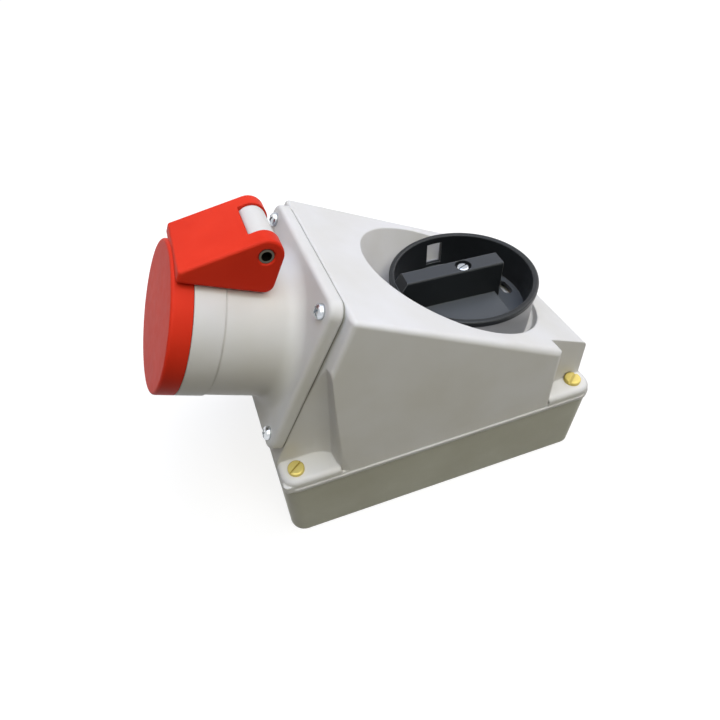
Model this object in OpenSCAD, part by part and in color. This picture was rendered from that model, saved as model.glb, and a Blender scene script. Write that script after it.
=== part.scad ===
/* [Box] */
// Length of the base
box_l = 198; // [186:1:214]
// Width of the base
box_w = 134; // [128:1:146]
// Height of the base, from the wall to the parting face
base_h = 47; // [42:1:54]
// Corner radius of the box in plan
corner_r = 9; // [7:0.5:12]
// Wall of the base and the cover
wall = 3.4; // [3:0.1:4]
// Floor of the base
base_floor = 3.6; // [3:0.2:5]
// Distance of the corner screws from the box's ends and sides
screw_inset = 10; // [9:0.25:11]
// Spacing of the wall fixing holes along the length
fix_l = 150; // [140:1:156]
// Spacing of the wall fixing holes across the width
fix_w = 96; // [88:1:100]
// Diameter of the wall fixing holes
fix_d = 5.5; // [4.5:0.25:6.5]

/* [Cover] */
// Height of the corner shelves above the parting face
shelf_h = 8; // [7:0.5:10]
// Length of a rear corner pocket
pocket_l = 29.6; // [27:0.2:33]
// Depth of a rear corner pocket at its inner end
pocket_w = 10.5; // [9.5:0.25:12]
// Length of a front corner niche
niche_l = 32.8; // [30:0.2:35]
// Depth of a front corner niche
niche_w = 16.6; // [15:0.2:18]
// Draft of the side walls in degrees
side_draft = 4.3; // [3:0.1:5]
// Slope of the top in degrees
top_slope = 27.5; // [25:0.5:29]
// Rounding of the cover's outer edges
edge_r = 2.6; // [1.5:0.1:3]
// Bead that stands proud at the parting face
lip_out = 0.7; // [0.4:0.1:1.2]
// Height of that bead
lip_h = 2.4; // [1.6:0.2:3.2]

/* [Socket] */
// Lean of the socket's axis above the horizontal, in degrees
socket_tilt = 26; // [24:0.5:28]
// Distance up the sloping front from the shelf to the socket flange's centre
socket_rise = 61.5; // [60:0.5:64]
// Side of the square flange
flange = 102.8; // [101:0.2:106]
// Thickness of the flange
flange_t = 6.8; // [6:0.2:8]
// Thickness of the flange's sheet seal
gasket_t = 1.5; // [1:0.1:2]
// Spacing of the flange screws
flange_pitch = 85.8; // [85:0.2:88]
// Outer radius of the barrel's front ring
ring_r = 40; // [39:0.25:41]
// Length of the barrel in front of the flange
barrel_l = 53.4; // [50:0.2:58]
// Wall of the barrel's mouth, inside the lid
mouth_wall = 1.5; // [1.2:0.1:2]
// Gap between the barrel and the contact carrier, for the plug's sleeve
plug_gap = 5.6; // [5:0.1:6.4]
// Radius of the circle of contacts
contact_pcr = 17.5; // [16.5:0.25:18.5]
// Radius of a phase contact's bore
contact_r = 3.1; // [2.6:0.1:3.3]

/* [Lid] */
// Depth of the lid's rim
lid_d = 10.3; // [9:0.1:12]
// Wall of the lid
lid_wall = 2.4; // [2:0.1:3]
// Width of the hinge block
hinge_w = 44.8; // [42:0.2:48]
// Thickness of each ear of the hinge block
ear_t = 9.6; // [8:0.2:11]
// Distance of the hinge pin in front of the flange
pin_out = 25.3; // [24:0.1:27]
// Height of the hinge pin above the flange's centre
pin_up = 55.2; // [54:0.1:57]
// Outer radius of the hinge pin
pin_r = 3.6; // [3:0.1:4]
// Outer radius of the ears round the pin
ear_r = 8.6; // [8:0.1:9]

/* [Knob] */
// Place of the knob's axis along the box
knob_x = 38.8; // [36:0.2:40]
// Outer radius of the knob's rim
knob_r = 43.6; // [42:0.2:44]
// Height of the knob's cup
knob_h = 28; // [26:0.5:32]
// Depth of the finger cup below the rim
cup_d = 22; // [20:0.5:23]
// Radius of the finger cup at its floor
cup_r = 39.2; // [38:0.2:39.4]
// Width of the grip bar
bar_w = 11.6; // [10:0.2:13]
// Height of the grip bar above the rim
bar_up = 6; // [3:0.5:7]
// Turn of the grip bar away from the box's length, in degrees
bar_turn = -4; // [-8:1:0]
// Radius of the knob recess at its floor
recess_r = 45.6; // [45:0.2:47]
// Draft of the recess wall in degrees
recess_draft = 15; // [12:0.5:17]
// Radius of the switch spindle
spindle_r = 5; // [4:0.25:5.5]

/* [Switch and interlock] */
// Length of the isolator along the box
switch_l = 50; // [46:1:56]
// Width of the isolator
switch_w = 62; // [58:1:70]
// Height of the isolator
switch_h = 44; // [40:1:46]
// Travel of the interlock bolt over a quarter turn of the knob
bolt_travel = 10; // [8:0.5:12]
// Width of the interlock bolt
bolt_w = 14; // [12:0.5:16]
// Thickness of the interlock bolt
bolt_t = 3; // [2.5:0.25:4]

/* [Clearances] */
// Radial gap of a shaft that turns in a hole
run_gap = 0.05; // [0.02:0.01:0.08]
// Gap between a fixed piece and its seat
seat_gap = 0.05; // [0.02:0.01:0.1]
// Gap between pieces that move past each other
slide_gap = 0.3; // [0.3:0.05:0.5]
// Gap round a screw that passes through a hole
free_gap = 0.3; // [0.2:0.05:0.5]
// Gap between the closed lid and the barrel
lid_gap = 0.2; // [0.15:0.05:0.3]

/* [Hidden] */

$fn = 64;
fine = 32;
eps = 0.01;
far = 400;

grey = "#D9DAD8";
red = "#D8392B";
black = "#26282B";
brass = "#C2A24A";
zinc = "#C9CCD0";
rubber = "#3A3C3E";

// Sloping front of the cover: its foot lies at the shelf, on the box's end
shelf_z = base_h + shelf_h;
tilt_cos = cos(socket_tilt);
tilt_sin = sin(socket_tilt);
face_x0 = -box_l / 2 + socket_rise * tilt_sin;
face_z0 = shelf_z + socket_rise * tilt_cos;
flange_x = face_x0 - (gasket_t + flange_t) * tilt_cos;
flange_z = face_z0 + (gasket_t + flange_t) * tilt_sin;
axis_drop = 1;

// Sloping top: it passes just under the flange's upper edge
top_step = 1.4;
top_x0 = face_x0 + (flange / 2 - top_step) * tilt_sin;
top_z0 = face_z0 + (flange / 2 - top_step) * tilt_cos;
function top_z(x, depth = 0) = top_z0 - tan(top_slope) * (x - top_x0) - depth / cos(top_slope);
function face_x(z, depth = 0) = face_x0 + tan(socket_tilt) * (z - face_z0) + depth / tilt_cos;
function ridge_x(front, top) =
    (face_x0 + tan(socket_tilt) * (top_z0 + tan(top_slope) * top_x0 - top / cos(top_slope) - face_z0)
    + front / tilt_cos) / (1 + tan(socket_tilt) * tan(top_slope));
function side_y(z, depth = 0) = box_w / 2 - tan(side_draft) * (z - base_h) - depth / cos(side_draft);

pocket_x = box_l / 2 - pocket_l;
rear_x = box_l / 2 - 2;
niche_x = box_l / 2 - niche_l;
pocket_flare = 3;
pocket_round = 4;
niche_round = 6;
niche_curve = 17;
niche_draft = 2;
rear_round = 4.5;
pad_tuck = 1.5;

// Corner screws and flange screws
screw_x = box_l / 2 - screw_inset;
screw_y = box_w / 2 - screw_inset + 1;
shank_r = 1.6;
clamp_r = 1.5;
clamp_head_r = 2.6;
clamp_head_h = 1.8;
clamp_l = 2.8;
clamp_edge = 0.4;
clamp_slot = 0.8;
rail_head_r = 4;
rail_head_h = 2.4;
rail_head_edge = 0.8;
rail_slot = 1;
rail_screw_l = 5;
rail_boss_r = 4.5;
rail_end = 8;
brass_head_r = 4.8;
brass_head_h = 2.6;
insert_len = 12;
bush_r = 3.6;
boss_r = 7;
pan_head_r = 4;
pan_head_h = 3;
cross_l = 4.6;
cross_w = 1.1;
cross_d = 1.6;

// Groove and cord seal on the base's rim
seal_w = 1.6;
seal_h = 1.4;

// Barrel and lid along the socket's axis, measured from the flange's front
barrel_wall_r = ring_r - 0.6;
ring_start = barrel_l - 15.4;
rim_wall = 1.7;
swing_gap = 1.4;
lid_in_r = ring_r - rim_wall;
spigot_r = lid_in_r - swing_gap;
spigot_l = 4;
bore_r = spigot_r - mouth_wall;
insert_r = bore_r - plug_gap;
fillet_r = 8;
flange_corner = 8;
gasket_in = 1.2;
opening_r = bore_r + 10.6;
lid_back = barrel_l + lid_gap;
lid_front = lid_back + lid_d;
insert_back = -flange_t;
insert_front = barrel_l - 7.4;
insert_flange_r = opening_r - 2.5;
insert_flange_t = 6;
carrier_seat = 3;
contact_n = 5;
contact_wall = 1.5;
earth_extra = 1;
shutter_t = 6;
tail_l = 16;
contact_back = insert_back - insert_flange_t - tail_l;

// Knob and recess, worked up from the recess floor
recess_z = top_z(knob_x + recess_r) - 1;
knob_z = recess_z + 0.5;
rim_z = knob_z + knob_h;
cup_z = rim_z - cup_d;
bar_z = rim_z + bar_up;
knob_wall = 2.6;
knob_floor = 2.4;
knob_low_r = knob_r - 0.8;
hub_r = 9;
bar_left = knob_low_r - 1.2;
bar_right = 23;
bar_draft = 1.2;
window_w = 10;
window_drop = 4.6;
window_h = 15;
step_h = 7.5;
step_end = 20;
window_angle = 91;
slot_r = 33.2;
slot_half_w = 2.9;
slot_from = -1;
slot_to = 12;
knob_bore_r = 4.8;
knob_bore_d = 3;
screw_head_r = 3.9;
screw_head_h = 2.2;

// Switch stack, worked up from the base's floor
rail_h = 7.5;
rail_w = 35;
rail_t = 1.2;
rail_rim = 4;
rail_l = 96;
switch_z = base_floor + rail_h;
switch_top = switch_z + switch_h;
cam_t = 4;
cam_z = switch_top + 2;
cam_r0 = 13;
follower_r = 2.5;
cam_r = cam_r0 + bolt_travel + follower_r + slide_gap + 3;
bolt_z = cam_z + cam_t + slide_gap;
bolt_nose = -62;
cup_under = recess_z - wall;
bush_len = 3;
guide_l = 10;
guide_wall = 4;
peg_r = 1.4;
guide_x = knob_x - recess_r + 4;
spindle_low = switch_z + 14;
spindle_top = cup_z + 9;

function arc(x, y, r, a0, a1, n = 8) =
    [for (i = [0 : n]) let (t = a0 + (a1 - a0) * i / n) [x + r * cos(t), y + r * sin(t)]];
function round_rect(l, w, r) = concat(
    arc(l / 2 - r, w / 2 - r, r, 0, 90), arc(-l / 2 + r, w / 2 - r, r, 90, 180),
    arc(-l / 2 + r, -w / 2 + r, r, 180, 270), arc(l / 2 - r, -w / 2 + r, r, 270, 360));

// Frame of the socket: local X climbs the flange, local Z runs out along the barrel
module on_flange() {
    translate([flange_x, 0, flange_z]) rotate([0, socket_tilt - 90, 0]) children();
}

module on_axis() {
    on_flange() translate([-axis_drop, 0, 0]) children();
}

module at_corners(x, y) {
    for (i = [-1, 1], j = [-1, 1]) translate([i * x, j * y, 0]) children();
}

module plate(l, w, r, h) {
    linear_extrude(h) polygon(round_rect(l, w, r));
}

// A round post whose upper edge is rounded
module round_post(r, h, edge) {
    rotate_extrude($fn = fine)
        polygon(concat([[0, 0], [r, 0]], arc(r - edge, h - edge, edge, 0, 90, 5), [[0, h]]));
}

// A slab with rounded corners in plan and a rounded upper edge
module soft_slab(l, w, r, h, edge) {
    hull() at_corners(l / 2 - r, w / 2 - r) round_post(r, h, edge);
}

// A bar across the hinge with rounded ends
module soft_rod(r, w, edge) {
    rotate([90, 0, 0]) rotate_extrude($fn = fine)
        polygon(concat([[0, -w / 2]], arc(r - edge, -w / 2 + edge, edge, -90, 0, 4),
            arc(r - edge, w / 2 - edge, edge, 0, 90, 4), [[0, w / 2]]));
}

// Screw with a head that rests at z = 0 and a shank that points down; a slot of no width is left out
module screw(head_r, head_h, r, length, dome, slot_w) {
    difference() {
        union() {
            translate([0, 0, -length]) cylinder(r = r, h = length + eps);
            rotate_extrude() polygon(concat([[0, 0], [head_r, 0]],
                arc(head_r - dome, head_h - dome, dome, 0, 90, 4), [[0, head_h]]));
        }
        if (slot_w > 0) translate([-head_r, -slot_w / 2, head_h * 0.5]) cube([2 * head_r, slot_w, head_h]);
    }
}

module clamp_screw(length) {
    screw(clamp_head_r, clamp_head_h, clamp_r, length, clamp_edge, clamp_slot);
}

// Base: open tray with corner bosses, a seal groove and closed knock-outs
module base_box() {
    knock_r = 11;
    knock_y = 32;
    color(grey) difference() {
        union() {
            difference() {
                plate(box_l, box_w, corner_r, base_h);
                translate([0, 0, base_floor])
                    plate(box_l - 2 * wall, box_w - 2 * wall, corner_r - wall, base_h);
            }
            at_corners(screw_x, screw_y) cylinder(r = boss_r, h = base_h);
            at_corners(fix_l / 2, fix_w / 2) cylinder(r = fix_d / 2 + 4, h = base_floor + 2);
            at_rail_ends() cylinder(r = rail_boss_r, h = base_floor + rail_h - rail_t);
            translate([earth_x, earth_y, 0]) earth_pad();
        }
        at_corners(fix_l / 2, fix_w / 2) translate([0, 0, -1]) cylinder(r = fix_d / 2, h = base_h);
        at_corners(screw_x, screw_y) translate([0, 0, base_h - insert_len])
            cylinder(r = bush_r + seat_gap, h = insert_len + 1);
        at_rail_ends() translate([0, 0, base_floor + 1]) cylinder(r = shank_r + seat_gap, h = base_h);
        translate([0, 0, base_h - seal_h]) seal_ring(seal_w, seal_h + 1);
        for (j = [-1, 1]) translate([box_l / 2 - 1, j * knock_y, base_h / 2]) rotate([0, 90, 0])
            difference() {
                cylinder(r = knock_r, h = 2);
                translate([0, 0, -1]) cylinder(r = knock_r - 1, h = 4);
            }
    }
}

// Seat of the earth bar on the base's floor
module earth_pad() {
    translate([-earth_l / 2 - 2, -earth_w / 2 - 1, 0]) cube([earth_l + 4, earth_w + 2, base_floor + pad_h]);
}

// Closed cord in plan, halfway through the base's wall
module seal_ring(w, h) {
    mid_r = corner_r - wall / 2;
    difference() {
        plate(box_l - wall + w, box_w - wall + w, mid_r + w / 2, h);
        translate([0, 0, -1]) plate(box_l - wall - w, box_w - wall - w, mid_r - w / 2, h + 2);
    }
}

module base_gasket() {
    color(rubber) translate([0, 0, base_h - seal_h + seat_gap])
        seal_ring(seal_w - 2 * seat_gap, seal_h - seat_gap);
}

// Threaded brass bushes in the corner bosses
module cover_inserts() {
    color(brass) at_corners(screw_x, screw_y) translate([0, 0, base_h - insert_len]) difference() {
        cylinder(r = bush_r, h = insert_len);
        translate([0, 0, 1]) cylinder(r = shank_r + seat_gap, h = insert_len);
    }
}

module cover_screws() {
    color(brass) at_corners(screw_x, screw_y) translate([0, 0, shelf_z]) rotate([0, 0, 35])
        screw(brass_head_r, brass_head_h, shank_r, shelf_h + insert_len - 2, 0.8, 1.2);
}

// Wedge of the cover: one convex body with rounded edges
module wedge() {
    low = base_h + 1;
    foot_x = face_x(shelf_z, edge_r);
    crest_x = ridge_x(edge_r, edge_r);
    end_x = rear_x - rear_round;
    spine = [
        [foot_x, low, edge_r], [foot_x, shelf_z, edge_r], [crest_x, top_z(crest_x, edge_r), edge_r],
        [end_x, top_z(end_x, rear_round), rear_round], [end_x, low, rear_round]];
    difference() {
        hull() for (p = spine, j = [-1, 1])
            translate([p[0], j * side_y(p[1], p[2]), p[1]]) sphere(r = p[2], $fn = fine);
        translate([-far / 2, -far / 2, base_h - far]) cube(far);
    }
}

// Plan of a rear corner pocket, with a rounded outer edge
module pocket() {
    inner = box_w / 2 - pocket_w;
    reach = 60;
    end_y = inner - pocket_flare * (pocket_l + reach) / pocket_l;
    side = box_w / 2;
    linear_extrude(far) polygon(concat(
        [[pocket_x, inner]], arc(pocket_x - pocket_round, side - pocket_round, pocket_round, 0, 90, 6),
        [[pocket_x - pocket_round, side + reach], [pocket_x + pocket_l + reach, side + reach],
        [pocket_x + pocket_l + reach, end_y]]));
}

// Plan of a front corner niche: its inner wall curves out to the side block
module niche() {
    inner = box_w / 2 - niche_w;
    reach = 60;
    side = box_w / 2 - 0.6;
    far_x = -niche_l - reach;
    linear_extrude(far) polygon(concat(
        [[far_x, inner]], arc(-0.7 * niche_curve, inner + niche_curve, niche_curve, 270, 312, 6),
        arc(niche_round, side - niche_round, niche_round, 180, 90, 6),
        [[niche_round, side + reach], [far_x, side + reach]]));
}

// Rounds the edge where a rear pocket runs out of the sloping top
module brow() {
    x = pocket_x - pocket_round;
    z = top_z(x, pocket_round);
    r = 2 * pocket_round;
    length = pocket_w + tan(side_draft) * (top_z(pocket_x) - base_h - shelf_h / 2);
    translate([0, box_w / 2, 0]) rotate([90, 0, 0]) linear_extrude(length) polygon(concat(
        arc(x, z, pocket_round, 0, 90 - top_slope, 6),
        [[x + r * sin(top_slope), z + r * cos(top_slope)], [x + r, z + pocket_round], [x + r, z]]));
}

// Shelves at both ends of the cover
module corner_pads() {
    intersection() {
        translate([0, 0, base_h]) soft_slab(box_l, box_w, corner_r, shelf_h, 3);
        union() {
            translate([-box_l / 2, -far / 2, 0]) cube([niche_l + pad_tuck, far, far]);
            translate([pocket_x - pad_tuck, -far / 2, 0]) cube([far, far, far]);
        }
    }
}

module cover_outside() {
    difference() {
        wedge();
        for (j = [0, 1]) mirror([0, j, 0]) {
            translate([0, box_w / 2, base_h]) rotate([side_draft, 0, 0])
                translate([0, -box_w / 2, shelf_h / 2]) pocket();
            translate([-niche_x, 0, base_h + shelf_h / 2]) rotate([0, niche_draft, 0]) niche();
            brow();
        }
    }
    corner_pads();
    translate([0, 0, base_h]) plate(box_l + 2 * lip_out, box_w + 2 * lip_out, corner_r + lip_out, lip_h);
}

// Profile of the space inside the cover, seen from the side
module inner_profile(x0, x1, depth, roof) {
    crest = ridge_x(depth, roof);
    z0 = face_z0 + ((x0 - face_x0) * tilt_cos - depth) / tilt_sin;
    start = max(z0, shelf_z);
    low = base_h - 1;
    rotate([90, 0, 0]) translate([0, 0, -far / 2]) linear_extrude(far) polygon([
        [x0, low], [x0, start], [crest, top_z(crest, roof)], [x1, top_z(x1, roof)], [x1, low]]);
}

// Cross-section of the wide part of the cavity, with the draft of the walls
module inner_section() {
    low = base_h - 1;
    high = top_z0;
    rotate([90, 0, 90]) translate([0, 0, -far / 2]) linear_extrude(far) polygon([
        [-side_y(low, wall), low], [side_y(low, wall), low],
        [side_y(high, wall), high], [-side_y(high, wall), high]]);
}

module cavity() {
    end_half = box_w / 2 - niche_w - wall - 0.5;
    long_front = face_x(shelf_z, wall);
    difference() {
        union() {
            intersection() {
                inner_profile(-niche_x + wall, pocket_x - wall, wall, wall + 0.8);
                inner_section();
            }
            intersection() {
                inner_profile(long_front, rear_x - wall, wall, wall);
                cube([far, 2 * end_half, far], center = true);
            }
        }
        translate([knob_x, 0, cup_under]) cylinder(
            r1 = recess_r + wall, r2 = recess_r + wall + far * tan(recess_draft), h = far);
        translate([knob_x, 0, cup_under - bush_len]) cylinder(r = spindle_r + 5, h = bush_len + 1);
        on_flange() at_corners(flange_pitch / 2, flange_pitch / 2)
            translate([0, 0, -flange_t - gasket_t - 12]) cylinder(r = 5.5, h = 13);
    }
}

// Cover: moulded shell with the socket opening, the knob recess and the shelves
module housing_cover() {
    color(grey) difference() {
        cover_outside();
        cavity();
        translate([knob_x, 0, recess_z])
            cylinder(r1 = recess_r, r2 = recess_r + far * tan(recess_draft), h = far);
        translate([knob_x, 0, cup_under - far / 2]) cylinder(r = spindle_r + run_gap, h = far);
        translate([knob_x, 0, recess_z - 2.5]) cylinder(r = spindle_r + 2.6, h = 3);
        on_axis() translate([0, 0, -flange_t - gasket_t - wall - 4]) cylinder(r = opening_r, h = wall + 5);
        on_flange() at_corners(flange_pitch / 2, flange_pitch / 2)
            translate([0, 0, -flange_t - gasket_t - 10]) cylinder(r = shank_r + seat_gap, h = 11);
        at_corners(screw_x, screw_y) {
            translate([0, 0, base_h - 1]) cylinder(r = shank_r + free_gap, h = shelf_h + 2);
            translate([0, 0, shelf_z]) cylinder(r = brass_head_r + free_gap, h = brass_head_h + 1);
        }
        guide_pegs(seat_gap, 2);
    }
}

// Socket moulding: square flange, barrel with its front ring, and the hinge knuckle
module socket_body() {
    foot_r = barrel_wall_r + fillet_r;
    knuckle_w = hinge_w - 2 * ear_t - 2 * slide_gap;
    knuckle_r = ear_r - 1;
    key_w = 8;
    color(grey) difference() {
        union() {
            on_flange() translate([0, 0, -flange_t]) soft_slab(flange, flange, flange_corner, flange_t, 2.5);
            on_axis() rotate_extrude($fn = 96) polygon(concat(
                [[bore_r, -flange_t], [foot_r - 1, -flange_t], [foot_r, 0]],
                arc(foot_r, fillet_r, fillet_r, 270, 180, 8),
                [[barrel_wall_r, ring_start], [ring_r, ring_start + 0.6], [ring_r, barrel_l],
                [spigot_r, barrel_l], [spigot_r, barrel_l + spigot_l], [bore_r, barrel_l + spigot_l]]));
            difference() {
                on_flange() rotate([90, 0, 0]) translate([0, 0, -knuckle_w / 2]) union() {
                    translate([pin_up, pin_out, 0]) cylinder(r = knuckle_r, h = knuckle_w);
                    linear_extrude(knuckle_w) polygon([
                        [pin_up, pin_out - knuckle_r], [pin_up, pin_out + knuckle_r],
                        [ring_r - 6, pin_out + knuckle_r], [ring_r - 6, pin_out - knuckle_r]]);
                }
                on_axis() cylinder(r = bore_r + 2, h = far);
            }
        }
        on_axis() translate([0, 0, -flange_t - 1]) cylinder(r = bore_r, h = flange_t + 2);
        on_flange() at_corners(flange_pitch / 2, flange_pitch / 2)
            translate([0, 0, -flange_t - 1]) cylinder(r = shank_r + free_gap, h = flange_t + 2);
        hinge_line() cylinder(r = pin_r + seat_gap, h = far, center = true);
        hinge_line() cylinder(r = spring_r + spring_wire, h = spring_w, center = true);
        on_flange() translate([pin_up - 24, -spring_w / 2, pin_out]) cube([24, spring_w, 40]);
        on_axis() translate([-bore_r - 1.6, -key_w / 2, 4]) cube([6, key_w, far]);
        insert_screw_places() translate([0, 0, -1]) cylinder(r = clamp_r + seat_gap, h = 6);
    }
}

// Line of the hinge: local Z runs across the box through the pin
module hinge_line() {
    on_flange() translate([pin_up, 0, pin_out]) rotate([90, 0, 0]) children();
}

module insert_screw_places() {
    for (j = [-1, 1]) on_axis() translate([0, j * (bore_r + 4.2), -flange_t]) children();
}

module flange_gasket() {
    color(rubber) difference() {
        on_flange() translate([0, 0, -flange_t - gasket_t])
            plate(flange - 2 * gasket_in, flange - 2 * gasket_in, flange_corner - gasket_in, gasket_t);
        on_axis() translate([0, 0, -far / 2]) cylinder(r = opening_r, h = far);
        on_flange() at_corners(flange_pitch / 2, flange_pitch / 2)
            cylinder(r = shank_r + free_gap, h = far, center = true);
    }
}

// Pan-head screws with a cross recess
module flange_screws() {
    color(zinc) on_flange() at_corners(flange_pitch / 2, flange_pitch / 2) rotate([0, 0, 50]) difference() {
        screw(pan_head_r, pan_head_h, shank_r, flange_t + gasket_t + 8, 2.2, 0);
        for (a = [0, 90]) rotate([0, 0, a]) translate([-cross_l / 2, -cross_w / 2, pan_head_h - cross_d])
            cube([cross_l, cross_w, pan_head_h]);
    }
}

// Places of the contacts round the carrier, the earth contact lowest
module contact_place(i) {
    on_axis() rotate([0, 0, 180 + 360 * i / contact_n]) translate([contact_pcr, 0, 0]) children();
}

function contact_bore(i) = contact_r + (i == 0 ? earth_extra : 0);

// Holes for the contact sleeves, from behind
module sleeve_holes() {
    for (i = [0 : contact_n - 1]) contact_place(i) {
        translate([0, 0, insert_back - insert_flange_t - 1])
            cylinder(r = contact_bore(i) + contact_wall + seat_gap,
                h = insert_front - insert_back + insert_flange_t + 1 - shutter_t);
        cylinder(r = contact_bore(i) + 0.2, h = far);
    }
}

// Contact carrier: a cylinder whose rear end sits in the carrier plate
module contact_insert() {
    front_edge = 1.5;
    color(black) difference() {
        on_axis() rotate_extrude() polygon([
            [0, insert_back - carrier_seat], [insert_r, insert_back - carrier_seat],
            [insert_r, insert_front - front_edge], [insert_r - front_edge, insert_front],
            [0, insert_front]]);
        sleeve_holes();
    }
}

// Plate behind the flange that the carrier is pressed into
module carrier_plate() {
    color(black) difference() {
        on_axis() translate([0, 0, insert_back - insert_flange_t])
            cylinder(r = insert_flange_r, h = insert_flange_t);
        on_axis() translate([0, 0, insert_back - carrier_seat - seat_gap])
            cylinder(r = insert_r + seat_gap, h = insert_flange_t);
        sleeve_holes();
        insert_screw_places() translate([0, 0, -insert_flange_t - 1])
            cylinder(r = clamp_r + free_gap, h = far);
    }
}

// Contact sleeve with a solid tail for its clamp screw
module contact(i) {
    r = contact_bore(i);
    length = insert_front - shutter_t - contact_back;
    contact_place(i) translate([0, 0, contact_back]) difference() {
        cylinder(r = r + contact_wall, h = length);
        translate([0, 0, tail_l + 4]) cylinder(r = r, h = length);
        translate([0, 0, -1]) cylinder(r = r - 0.8, h = tail_l - 3);
        translate([0, 0, tail_l / 2 - 1]) rotate([0, 90, 0]) cylinder(r = clamp_r + seat_gap, h = far);
    }
}

module phase_contacts() {
    color(brass) for (i = [1 : contact_n - 1]) contact(i);
}

module earth_contact() {
    color(brass) contact(0);
}

module contact_screws() {
    color(zinc) for (i = [0 : contact_n - 1]) contact_place(i)
        translate([contact_bore(i) + contact_wall, 0, contact_back + tail_l / 2 - 1]) rotate([0, 90, 0])
            clamp_screw(clamp_l);
}

module insert_screws() {
    color(zinc) insert_screw_places() translate([0, 0, -insert_flange_t]) rotate([180, 0, 0])
        clamp_screw(insert_flange_t + clamp_l);
}

// Lid: shallow cap with a hinge block and two ears
module lid() {
    rise = 35.4;
    cap_edge = 1.6;
    color(red) difference() {
        union() {
            on_axis() rotate_extrude($fn = 96) polygon(concat(
                [[lid_in_r, lid_back], [ring_r, lid_back]],
                arc(ring_r - cap_edge, lid_front - cap_edge, cap_edge, 0, 90, 4),
                [[0, lid_front], [0, lid_front - lid_wall], [lid_in_r, lid_front - lid_wall]]));
            difference() {
                hull() {
                    hinge_bar(pin_up, pin_out, ear_r);
                    hinge_bar(rise + 5, pin_out - ear_r + 5, 5);
                    hinge_bar(rise + 1.6, lid_front - 3, 1.6);
                    hinge_bar(ring_r + 0.2, lid_front - 3, 1.6);
                }
                block_hollow(rise);
                on_axis() translate([0, 0, lid_back]) cylinder(r = lid_in_r, h = lid_d - lid_wall);
                on_axis() translate([0, 0, -eps]) cylinder(r = ring_r + 0.8, h = lid_back + eps);
            }
        }
        notch_w = hinge_w - 2 * ear_t;
        on_flange() translate([0, -notch_w / 2, 0]) cube([far, notch_w, pin_out + ear_r - 0.4]);
        hinge_line() cylinder(r = pin_r + run_gap, h = far, center = true);
        hinge_line() translate(spring_point(0)) rotate([-90, 0, 0])
            cylinder(r = spring_wire / 2 + slide_gap, h = spring_leg + 1);
        for (j = [-1, 1]) hinge_line() translate([0, 0, j * hinge_w / 2])
            rotate([j > 0 ? 180 : 0, 0, 0]) translate([0, 0, -eps])
                cylinder(r1 = pin_r + 0.9, r2 = pin_r + run_gap, h = 0.9);
    }
}

module hinge_bar(up, out, r) {
    on_flange() translate([up, 0, out]) soft_rod(r, hinge_w, min(1.5, r - 0.1));
}

// Space under the hinge block, open towards the barrel
module block_hollow(rise) {
    w = hinge_w - 2 * lid_wall - 1;
    start = pin_out + ear_r - 0.4 + lid_wall;
    slope = (pin_up + ear_r - ring_r - 2) / (lid_front - pin_out);
    roof = pin_up + ear_r - lid_wall - 2.2 - slope * (start - pin_out);
    on_flange() rotate([90, 0, 0]) translate([0, 0, -w / 2]) linear_extrude(w) polygon([
        [0, start], [roof, start], [roof - slope * (lid_front - lid_wall - start), lid_front - lid_wall],
        [0, lid_front - lid_wall]]);
}

module lid_seal() {
    color(rubber) on_axis() translate([0, 0, barrel_l + spigot_l + lid_gap]) difference() {
        cylinder(r = lid_in_r - seat_gap, h = lid_front - lid_wall - barrel_l - spigot_l - lid_gap);
        translate([0, 0, -1]) cylinder(r = bore_r - 0.5, h = far);
    }
}

module hinge_pin() {
    color(zinc) hinge_line() difference() {
        cylinder(r = pin_r, h = hinge_w - 1.2, center = true);
        cylinder(r = pin_r - 1.1, h = hinge_w, center = true);
    }
}

// Torsion spring round the pin: one leg lies in the web's slot, the other reaches into the hinge block
spring_wire = 1;
spring_r = pin_r + seat_gap + spring_wire / 2 + slide_gap;
spring_w = 7;
spring_turns = 4.75;
spring_steps = 12;
spring_sides = 6;
spring_leg = 11;
function spring_point(i) = let (t = i / spring_steps)
    [-spring_r * cos(360 * t), spring_r * sin(-360 * t), (t / spring_turns - 0.5) * (spring_w - 2)];

module lid_spring() {
    last = spring_turns * spring_steps;
    color(zinc) hinge_line() {
        for (i = [0 : last - 1]) spring_link(spring_point(i), spring_point(i + 1));
        spring_link(spring_point(0), spring_point(0) + [0, spring_leg, 0]);
        spring_link(spring_point(last), spring_point(last) + [-spring_leg, 0, 0]);
    }
}

module spring_link(a, b) {
    d = b - a;
    n = norm(d);
    translate(a) rotate([0, acos(d[2] / n), atan2(d[1], d[0])])
        cylinder(d = spring_wire, h = n, $fn = spring_sides);
}

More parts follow.
